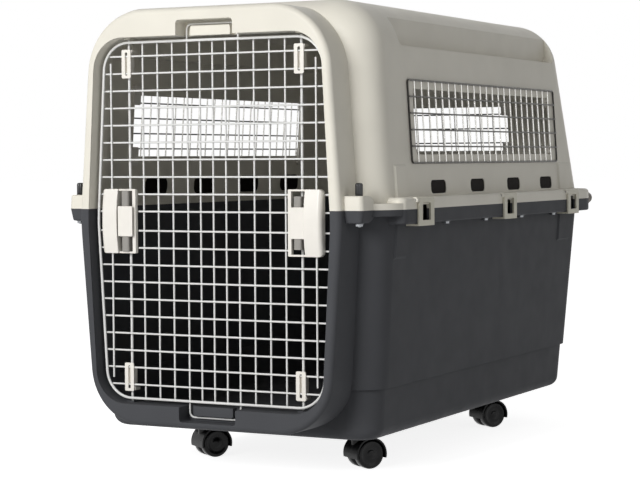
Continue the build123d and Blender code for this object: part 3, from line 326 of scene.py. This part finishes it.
class CarrierSizes(bpy.types.PropertyGroup):
    wire: size_prop("Window wire", "Thickness of the window wires", 2.4)
    edge_wire: size_prop("Edge wire", "Thickness of the wire round a window grille", 2.8)
    upright_pitch: size_prop("Upright pitch", "Spacing of the upright wires in a window", 24.2)
    row_pitch: size_prop("Row pitch", "Spacing of the cross wires in a window", 24.2)
    grille_corner: size_prop("Grille corner", "Corner radius of a window grille", 5.0)
    head_width: size_prop("Screw head", "Width across the flats of the flange screws", 10.0)
    head_height: size_prop("Head height", "Height of the hexagon heads", 3.2)
    washer_width: size_prop("Washer", "Width of the washers", 13.5)
    washer_height: size_prop("Washer height", "Thickness of the washers", 0.8)
    knob_height: size_prop("Knob height", "Height of the knobs on the front lugs", 18.0)
    stud_height: size_prop("Stud height", "How far the corner studs stand out", 13.0)


def spot_prop(name, description, place):
    return bpy.props.FloatVectorProperty(name=name, description=description, default=place,
                                         subtype="TRANSLATION")


def angle_prop(name, description, degrees):
    return bpy.props.FloatProperty(name=name, description=description, default=math.radians(degrees),
                                   subtype="ANGLE")


class CarrierStage(bpy.types.PropertyGroup):
    lens: bpy.props.FloatProperty(name="Lens", description="Focal length on a 36 mm sensor",
                                  default=107.26, unit="CAMERA")
    eye: spot_prop("Eye", "Where the camera stands", (1.3986, -2.8082, 0.4676))
    azimuth: angle_prop("Azimuth", "Turn of the view to the left", 27.317)
    pitch: angle_prop("Pitch", "Tilt of the view upwards", -2.741)
    roll: angle_prop("Roll", "Roll of the camera", -0.340)
    key_watts: bpy.props.FloatProperty(name="Key lamp", description="Power of the large front lamp",
                                       default=165.0, min=0)
    fill_watts: bpy.props.FloatProperty(name="Fill lamp", description="Power of the side lamp",
                                        default=9.0, min=0)
    ambient: bpy.props.FloatProperty(name="Ambient", description="Level of the plain surroundings",
                                     default=0.20, min=0)
    key_place: spot_prop("Key place", "Where the front lamp hangs", (-0.7, -4.6, 2.0))
    fill_place: spot_prop("Fill place", "Where the side lamp hangs", (3.6, -0.6, 1.6))
    aim: spot_prop("Aim", "Point that both lamps face", (0, 0, 0.35))
    floor: colour_prop("Floor", "Colour of the floor", "#F2F2F2")
    floor_glow: bpy.props.FloatProperty(name="Floor glow", default=0.86, min=0,
                                        description="Light added to the floor where it is seen")


# ------------------------------------------------------------------ pieces
class CARRIER_OT_shells(bpy.types.Operator):
    """Finish the two moulded half shells"""
    bl_idname = "carrier.shells"
    bl_label = "Shells"

    def execute(self, context):
        colours = context.scene.carrier_colours
        # Polypropylene, injection moulded against a spark-eroded tool: satin, with a fine even grain.
        dress("upper_shell", moulded("cream_polypropylene", colours.upper_shell, 0.45, 1.1, 0.03, 0.25))
        dress("lower_shell", moulded("grey_polypropylene", colours.lower_shell, 0.55, 1.1, 0.03, 0.04))
        return {"FINISHED"}


class CARRIER_OT_door(bpy.types.Operator):
    """Finish the wires of the door"""
    bl_idname = "carrier.door"
    bl_label = "Door wires"

    def execute(self, context):
        colours = context.scene.carrier_colours
        # Steel wire, resistance welded and powder coated: off-white with a soft gloss.
        wire = coated("powder_coated_wire", colours.wire, 0.38, 1.6, 0.02)
        for node in ("door_frame_wire", "door_row_wires", "door_column_wires", "door_loop_wire"):
            dress(node, wire)
        return {"FINISHED"}


class CARRIER_OT_lock(bpy.types.Operator):
    """Finish the latches, lock rods, sleeves and guides"""
    bl_idname = "carrier.lock"
    bl_label = "Lock"

    def execute(self, context):
        colours = context.scene.carrier_colours
        # ABS, injection moulded in a smooth tool: off-white, a little glossier than the shells.
        white = moulded("white_abs", colours.moulding, 0.34, 0.8, 0.012, patch_mm=25.0, share=0.02)
        sleeve = moulded("grey_acetal", colours.sleeve, 0.4, 0.8, 0.012, 0.3, patch_mm=20.0)
        rod = coated("powder_coated_rod", colours.wire, 0.4, 1.6, 0.02)
        steel = plated("zinc_plated_steel", colours.zinc, 0.32, 1.5, 0.01)
        dress("rod_guides", white)
        for side in SIDES:
            dress(f"{side}_latch_housing", white)
            dress(f"{side}_latch_tab", white)
            for end in ENDS:
                dress(f"{side}_{end}_rod_sleeve", sleeve)
                dress(f"{side}_{end}_lock_rod", rod)
                dress(f"{side}_{end}_latch_spring", steel)
        return {"FINISHED"}


def wire_set(tree, ends, count, line, radius, material):
    """Parallel wires: a line of points between two ends carries copies of one straight wire."""
    points = add(tree, "GeometryNodeMeshLine", {"mode": "END_POINTS"},
                 {"Count": count, "Start Location": ends[0], "Offset": ends[1]})
    path = add(tree, "GeometryNodeCurvePrimitiveLine", None, {"Start": line[0], "End": line[1]})
    copies = add(tree, "GeometryNodeInstanceOnPoints", None,
                 {"Points": points.outputs[0], "Instance": path.outputs[0]})
    real = add(tree, "GeometryNodeRealizeInstances", None, {"Geometry": copies.outputs[0]})
    section = add(tree, "GeometryNodeCurvePrimitiveCircle", {"Resolution": 10}, {"Radius": radius})
    skin = add(tree, "GeometryNodeCurveToMesh", {"Fill Caps": True},
               {"Curve": real.outputs[0], "Profile Curve": section.outputs[0]})
    return add(tree, "GeometryNodeSetMaterial", None,
               {"Geometry": skin.outputs[0], "Material": material}).outputs[0]


def grille_tree():
    """Welded window grille in the XY plane: edge loop, uprights behind, cross wires in front."""
    number, whole = "NodeSocketFloat", "NodeSocketInt"
    tree, given = new_tree("window_grille", {
        "Length": (number, 0.6), "Height": (number, 0.12), "Uprights": (whole, 23), "Rows": (whole, 4),
        "Upright span": (number, 0.55), "Row span": (number, 0.09), "Wire": (number, 0.0024),
        "Edge wire": (number, 0.0028), "Corner": (number, 0.005), "Lift": (number, 0.0012),
        "Bright": ("NodeSocketMaterial", None), "Painted shade": ("NodeSocketMaterial", None)})

    def share(name, factor):
        return add(tree, "ShaderNodeMath", {"operation": "MULTIPLY", 1: factor}, {0: given[name]}).outputs[0]

    def spot(x=None, y=None, z=None):
        links = {key: value for key, value in (("X", x), ("Y", y), ("Z", z)) if value}
        return add(tree, "ShaderNodeCombineXYZ", None, links).outputs[0]

    # Uprights take the light wire, a painted reflection; cross wires take the dark wire, painted shade
    radius = share("Wire", 0.5)
    below = share("Lift", -1.0)
    uprights = wire_set(tree, (spot(share("Upright span", -0.5), None, below),
                               spot(share("Upright span", 0.5), None, below)), given["Uprights"],
                        (spot(None, share("Height", -0.5)), spot(None, share("Height", 0.5))),
                        radius, given["Bright"])
    rows = wire_set(tree, (spot(None, share("Row span", -0.5), given["Lift"]),
                           spot(None, share("Row span", 0.5), given["Lift"])), given["Rows"],
                    (spot(share("Length", -0.5)), spot(share("Length", 0.5))), radius, given["Painted shade"])
    outline = add(tree, "GeometryNodeCurvePrimitiveQuadrilateral", None,
                  {"Width": given["Length"], "Height": given["Height"]})
    rounded = add(tree, "GeometryNodeFilletCurve", {"mode": "POLY", "Count": 6},
                  {"Curve": outline.outputs[0], "Radius": given["Corner"]})
    section = add(tree, "GeometryNodeCurvePrimitiveCircle", {"Resolution": 12},
                  {"Radius": share("Edge wire", 0.5)})
    loop = add(tree, "GeometryNodeCurveToMesh", None,
               {"Curve": rounded.outputs[0], "Profile Curve": section.outputs[0]})
    # The edge loop takes the dark wire too: painted shade
    edge = add(tree, "GeometryNodeSetMaterial", None,
               {"Geometry": loop.outputs[0], "Material": given["Painted shade"]})
    joined = add(tree, "GeometryNodeJoinGeometry")
    for part in (edge.outputs[0], rows, uprights):
        tree.links.new(part, joined.inputs[0])
    smooth = add(tree, "GeometryNodeSetShadeSmooth", None, {"Geometry": joined.outputs[0]})
    add(tree, "NodeGroupOutput", None, {0: smooth.outputs[0]})
    return tree


class CARRIER_OT_windows(bpy.types.Operator):
    """Weave the window grilles from plated wire and finish their retainers"""
    bl_idname = "carrier.windows"
    bl_label = "Windows"

    def execute(self, context):
        colours = context.scene.carrier_colours
        sizes = context.scene.carrier_sizes
        # Steel wire, nickel plated, in two copies of one finish: the uprights get a light colour, a painted
        # reflection of the pale room; the cross wires and edge loop get a dark colour, painted shade.
        bright = plated("nickel_wire_painted_reflection", colours.upright, 0.25, 2.0, 0.004)
        dark = plated("nickel_wire_painted_shade", colours.row, 0.3, 2.0, 0.004)
        tree = grille_tree()
        walls = (("left", (-1, 0), SIDE_LEAN), ("right", (1, 0), SIDE_LEAN), ("rear", (0, 1), REAR_LEAN))
        for side, outward, lean in walls:
            low, high = (Vector(c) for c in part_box(f"{side}_window_grille"))
            tilt = math.radians(lean)
            normal = Vector((outward[0] * math.cos(tilt), outward[1] * math.cos(tilt), math.sin(tilt)))
            along = Vector((-outward[1], outward[0], 0))
            up = normal.cross(along)
            length = abs((high - low).dot(along)) - sizes.edge_wire
            depth = sizes.edge_wire + CREST_MM * MM
            height = ((high - low).z - depth * math.sin(tilt)) / math.cos(tilt) - sizes.edge_wire
            uprights = int(length / sizes.upright_pitch) - 1
            rows = round(height / sizes.row_pitch) - 1
            mesh = grow(f"{side}_grille", tree, [(0, 0, 0)], {
                "Length": length, "Height": height, "Uprights": uprights, "Rows": rows,
                "Upright span": length * (uprights - 1) / (uprights + 1),
                "Row span": height * (rows - 1) / (rows + 1), "Wire": sizes.wire,
                "Edge wire": sizes.edge_wire, "Corner": sizes.grille_corner, "Lift": sizes.wire / 2,
                "Bright": bright, "Painted shade": dark})
            turn = Matrix((along, up, normal)).transposed().to_4x4()
            mesh.transform(Matrix.Translation((low + high) / 2) @ turn)
            finish_mesh(f"{side}_grille", mesh, "carrier", [f"{side}_window_grille"])
        # Nylon, moulded in a smooth tool: white corner blocks that hold the grilles.
        dress("window_retainers", moulded("white_nylon", colours.moulding, 0.4, 0.8, 0.012, patch_mm=20.0))
        # Polypropylene, moulded in a rough tool: brown-black inserts, matt.
        black = moulded("black_vent_plastic", colours.vent, 0.6, 0.8, 0.012, 0.03, patch_mm=20.0)
        dress("vent_inserts", black)
        return {"FINISHED"}


class CARRIER_OT_clips(bpy.types.Operator):
    """Finish the side clips and their pins"""
    bl_idname = "carrier.clips"
    bl_label = "Side clips"

    def execute(self, context):
        colours = context.scene.carrier_colours
        # Glass-filled nylon, injection moulded: dull cream, a shade greyer than the roof.
        nylon = moulded("cream_nylon", colours.clip, 0.45, 0.8, 0.02, patch_mm=25.0)
        for side in SIDES:
            for number in (1, 2, 3):
                dress(f"{side}_clip_{number}", nylon)
        dress("clip_pins", plated("zinc_plated_pin", colours.zinc, 0.32, 1.5, 0.01))
        return {"FINISHED"}


def screw_tree():
    """Hexagon head on a washer, hanging below each point."""
    number = "NodeSocketFloat"
    tree, given = new_tree("hexagon_screws", {
        "Head width": (number, 0.01), "Head height": (number, 0.003), "Washer width": (number, 0.0135),
        "Washer height": (number, 0.0008), "Finish": ("NodeSocketMaterial", None)})

    def share(name, factor):
        return add(tree, "ShaderNodeMath", {"operation": "MULTIPLY", 1: factor}, {0: given[name]}).outputs[0]

    def disc(sides, radius, height, drop):
        barrel = add(tree, "GeometryNodeMeshCylinder", {"Vertices": sides},
                     {"Radius": radius, "Depth": height})
        place = add(tree, "ShaderNodeCombineXYZ", None, {"Z": drop})
        return add(tree, "GeometryNodeTransform", None,
                   {"Geometry": barrel.outputs[0], "Translation": place.outputs[0]}).outputs[0]

    washer = disc(28, share("Washer width", 0.5), given["Washer height"], share("Washer height", -0.5))
    half_head = share("Head height", -0.5)
    drop = add(tree, "ShaderNodeMath", {"operation": "SUBTRACT"}, {0: half_head, 1: given["Washer height"]})
    head = disc(6, share("Head width", 0.577), given["Head height"], drop.outputs[0])
    screw = add(tree, "GeometryNodeJoinGeometry")
    for part in (washer, head):
        tree.links.new(part, screw.inputs[0])
    copies = add(tree, "GeometryNodeInstanceOnPoints", None,
                 {"Points": given["Geometry"], "Instance": screw.outputs[0]})
    real = add(tree, "GeometryNodeRealizeInstances", None, {"Geometry": copies.outputs[0]})
    dressed = add(tree, "GeometryNodeSetMaterial", None,
                  {"Geometry": real.outputs[0], "Material": given["Finish"]})
    add(tree, "NodeGroupOutput", None, {0: dressed.outputs[0]})
    return tree


class CARRIER_OT_fasteners(bpy.types.Operator):
    """Make the fluted knobs, the screws with washers and the ringed corner studs"""
    bl_idname = "carrier.fasteners"
    bl_label = "Fasteners"

    def execute(self, context):
        colours = context.scene.carrier_colours
        sizes = context.scene.carrier_sizes
        # Steel, zinc plated: pale grey and cloudy.
        steel = plated("zinc_plated_screw", colours.zinc, 0.3, 1.5, 0.01)
        tree = screw_tree()
        for node in ("flange_screws", "lug_nuts"):
            heads = []
            for points in solids(node):
                low, high = extent(points)
                seat = high.z if node == "lug_nuts" else low.z + sizes.head_height + sizes.washer_height
                heads.append(((low.x + high.x) / 2, (low.y + high.y) / 2, seat))
            mesh = grow(node, tree, heads, {
                "Head width": sizes.head_width, "Head height": sizes.head_height, "Finish": steel,
                "Washer width": sizes.washer_width, "Washer height": sizes.washer_height}, bevel_mm=0.3)
            finish_mesh(f"{node}_heads", mesh, "carrier", [node])
        # Nylon knob, moulded on the bolt: near black with a soft shine, fluted for the fingers.
        black = moulded("black_nylon", colours.knob, 0.32, 0.8, 0.012, patch_mm=10.0)
        knobs, bolts = bmesh.new(), bmesh.new()
        for points in solids("knob_bolts"):
            low, high = extent(points)
            centre = ((low.x + high.x) / 2, (low.y + high.y) / 2)
            radius = (high.x - low.x) / 2 / MM
            height = sizes.knob_height / MM
            profile = [(radius * 0.92, 0), (radius, 0.6), (radius, height * 0.84),
                       (radius * 0.92, height * 0.93), (radius * 0.7, height * 0.985), (radius * 0.3, height)]
            foot = (*centre, high.z - sizes.knob_height)
            lathe(knobs, profile, foot, (0, 0, 1), 96, FLUTES, FLUTE_SHARE)
            shank_h = (high.z - low.z) / MM - height
            shank = [(SHANK_TIP_R, 0), (SHANK_R, SHANK_TIP_H), (SHANK_R, shank_h)]
            lathe(bolts, shank, (*centre, low.z), (0, 0, 1), 24)
        finish_form("fluted_knobs", knobs, black, "carrier", ["knob_bolts"], 50.0)
        finish_form("knob_shanks", bolts, steel, "carrier", ["knob_bolts"])
        # Steel cap, blackened nickel: dark, with a pressed ring round a low dome.
        dark = plated("black_nickel_stud", colours.stud, 0.28, 1.5, 0.01)
        studs = bmesh.new()
        for points in solids("corner_studs"):
            low, high = extent(points)
            side = math.copysign(1, low.x)
            out = Vector((side, 1, 0)).normalized()
            width = (high.z - low.z) / 2 / MM
            height = sizes.stud_height / MM
            tip = max(p.dot(out) for p in points)
            middle = (low + high) / 2
            place = middle + out * (tip - middle.dot(out) - sizes.stud_height)
            profile = [(width * 0.97, 0), (width, 0.8), (width, height * 0.22),
                       (width * 0.93, height * 0.3), (width * 0.84, height * 0.3),
                       (width * 0.8, height * 0.24), (width * 0.74, height * 0.3)]
            profile += [(width * 0.74 * math.cos(a), height * (0.3 + 0.7 * math.sin(a)))
                        for a in (math.radians(d) for d in range(12, 89, 12))]
            lathe(studs, profile, place, out)
        finish_form("ringed_studs", studs, dark, "carrier", ["corner_studs"], 40.0)
        return {"FINISHED"}


class CARRIER_OT_casters(bpy.types.Operator):
    """Finish the four twin-wheel casters"""
    bl_idname = "carrier.casters"
    bl_label = "Casters"

    def execute(self, context):
        colours = context.scene.carrier_colours
        # Polypropylene wheels and nylon hoods: black, glossy from use on smooth floors.
        wheel = moulded("black_polypropylene", colours.wheel, 0.25, 1.0, 0.01, 0.2, patch_mm=15.0)
        hood = moulded("black_hood_nylon", colours.hood, 0.3, 0.9, 0.01, 0.2, patch_mm=15.0)
        steel = plated("zinc_plated_axle", colours.zinc, 0.3, 1.5, 0.01)
        for caster in CASTERS:
            node = f"{caster}_caster_wheels"
            pair = bmesh.new()
            wheels = solids(node)
            middles = [(low + high) / 2 for low, high in map(extent, wheels)]
            for points, middle, other in zip(wheels, middles, reversed(middles)):
                out = (middle - other).normalized()
                reach = [point.dot(out) for point in points]
                low, high = extent(points)
                radius = (high.z - low.z) / 2 / MM
                width = (max(reach) - min(reach)) / MM
                profile = [(HUB_FLAT_R, 0), (radius * 0.24, 0), (radius * 0.3, 0.9), (radius * 0.34, 1.6),
                           (radius * 0.68, 1.6), (radius * 0.74, 0.5), (radius * 0.8, 0.2),
                           (radius * 0.9, 0.5), (radius * 0.97, 1.8), (radius, 3.6), (radius, width - 2.4),
                           (radius * 0.97, width - 0.8), (radius * 0.92, width), (HUB_FLAT_R, width)]
                lathe(pair, profile, middle + out * (max(reach) - middle.dot(out)), -out, 72)
            finish_form(f"{caster}_wheel_pair", pair, wheel, f"{caster}_wheels", [node], 28.0)
            dress(f"{caster}_caster_hood", hood)
            dress(f"{caster}_caster_plate", hood)
            dress(f"{caster}_caster_axle", steel)
        return {"FINISHED"}


# ------------------------------------------------------------------ stage
def add_lamp(name, watts, size, place, aim):
    lamp = bpy.data.lights.new(name, "AREA")
    lamp.energy = watts
    lamp.shape = "SQUARE"
    lamp.size = size
    holder = bpy.data.objects.new(name, lamp)
    holder.location = place
    holder.rotation_euler = (Vector(aim) - Vector(place)).to_track_quat("-Z", "Y").to_euler()
    bpy.context.scene.collection.objects.link(holder)


def seen_ray(tree):
    """1 for rays that show the surroundings themselves: straight, mirrored or through glass."""
    path = add(tree, "ShaderNodeLightPath")
    mirrored = add(tree, "ShaderNodeMath", {"operation": "MAXIMUM"},
                   {0: path.outputs["Is Camera Ray"], 1: path.outputs["Is Glossy Ray"]})
    return add(tree, "ShaderNodeMath", {"operation": "MAXIMUM"},
               {0: mirrored.outputs[0], 1: path.outputs["Is Transmission Ray"]}).outputs[0]


def add_camera(stage):
    sin_a, cos_a = math.sin(stage.azimuth), math.cos(stage.azimuth)
    sin_p, cos_p = math.sin(stage.pitch), math.cos(stage.pitch)
    forward = Vector((-sin_a * cos_p, cos_a * cos_p, sin_p))
    across = Vector((cos_a, sin_a, 0))
    upward = across.cross(forward)
    right = across * math.cos(stage.roll) + upward * math.sin(stage.roll)
    up = upward * math.cos(stage.roll) - across * math.sin(stage.roll)
    camera = bpy.data.cameras.new("camera")
    camera.lens = stage.lens
    camera.sensor_width = 36.0
    holder = bpy.data.objects.new("camera", camera)
    turn = Matrix((right, up, -forward)).transposed().to_4x4()
    holder.matrix_world = Matrix.Translation(stage.eye) @ turn
    bpy.context.scene.collection.objects.link(holder)
    bpy.context.scene.camera = holder


class CARRIER_OT_stage(bpy.types.Operator):
    """Lay the pale floor, place the lamps and set up the camera"""
    bl_idname = "carrier.stage"
    bl_label = "Stage"

    def execute(self, context):
        stage = context.scene.carrier_stage
        world = bpy.data.worlds.new("surroundings")
        world.use_nodes = True
        tree = world.node_tree
        tree.nodes.clear()
        level = add(tree, "ShaderNodeMix", {2: stage.ambient, 3: 1.0}, {0: seen_ray(tree)})
        sky = add(tree, "ShaderNodeBackground", {"Color": (1, 1, 1, 1)}, {"Strength": level.outputs[0]})
        add(tree, "ShaderNodeOutputWorld", None, {"Surface": sky.outputs[0]})
        context.scene.world = world

        grid = bmesh.new()
        bmesh.ops.create_grid(grid, x_segments=1, y_segments=1, size=FLOOR_HALF)
        mesh = bpy.data.meshes.new("floor")
        grid.to_mesh(mesh)
        grid.free()
        floor = bpy.data.objects.new("floor", mesh)
        context.scene.collection.objects.link(floor)
        material, tree, _ = start_material("pale_floor")
        paint = add(tree, "ShaderNodeBsdfDiffuse", {"Color": opaque(stage.floor)})
        lift = add(tree, "ShaderNodeMath", {"operation": "MULTIPLY", 1: stage.floor_glow},
                   {0: seen_ray(tree)})
        glow = add(tree, "ShaderNodeEmission", {"Color": (1, 1, 1, 1)}, {"Strength": lift.outputs[0]})
        end_material(tree, add(tree, "ShaderNodeAddShader", None, {0: paint.outputs[0], 1: glow.outputs[0]}))
        mesh.materials.append(material)

        add_lamp("key_lamp", stage.key_watts, KEY_SIZE, stage.key_place, stage.aim)
        add_lamp("fill_lamp", stage.fill_watts, FILL_SIZE, stage.fill_place, stage.aim)
        add_camera(stage)
        context.scene.view_settings.view_transform = "Standard"
        return {"FINISHED"}


# ------------------------------------------------------------------ add-on
PIECES = (CARRIER_OT_shells, CARRIER_OT_door, CARRIER_OT_lock, CARRIER_OT_windows, CARRIER_OT_clips,
          CARRIER_OT_fasteners, CARRIER_OT_casters, CARRIER_OT_stage)


class CARRIER_PT_parts(bpy.types.Panel):
    """Buttons for the carrier's pieces, with their colours and the stage's settings"""
    bl_idname = "CARRIER_PT_parts"
    bl_label = "Pet Transport Carrier"
    bl_space_type = "VIEW_3D"
    bl_region_type = "UI"
    bl_category = "Carrier"

    def draw(self, context):
        scene = context.scene
        for group in (scene.carrier_colours, scene.carrier_sizes, scene.carrier_stage):
            box = self.layout.box()
            for name in group.bl_rna.properties.keys():
                if name not in ("rna_type", "name"):
                    box.prop(group, name)
        for piece in PIECES:
            self.layout.operator(piece.bl_idname)


CLASSES = (CarrierColours, CarrierSizes, CarrierStage, *PIECES, CARRIER_PT_parts)


def register():
    for cls in CLASSES:
        bpy.utils.register_class(cls)
    bpy.types.Scene.carrier_colours = bpy.props.PointerProperty(type=CarrierColours)
    bpy.types.Scene.carrier_sizes = bpy.props.PointerProperty(type=CarrierSizes)
    bpy.types.Scene.carrier_stage = bpy.props.PointerProperty(type=CarrierStage)


def unregister():
    del bpy.types.Scene.carrier_stage
    del bpy.types.Scene.carrier_sizes
    del bpy.types.Scene.carrier_colours
    for cls in reversed(CLASSES):
        bpy.utils.unregister_class(cls)


def main():
    register()
    bpy.ops.carrier.shells()
    bpy.ops.carrier.door()
    bpy.ops.carrier.lock()
    bpy.ops.carrier.windows()
    bpy.ops.carrier.clips()
    bpy.ops.carrier.fasteners()
    bpy.ops.carrier.casters()
    bpy.ops.carrier.stage()


if __name__ == "__main__":
    main()
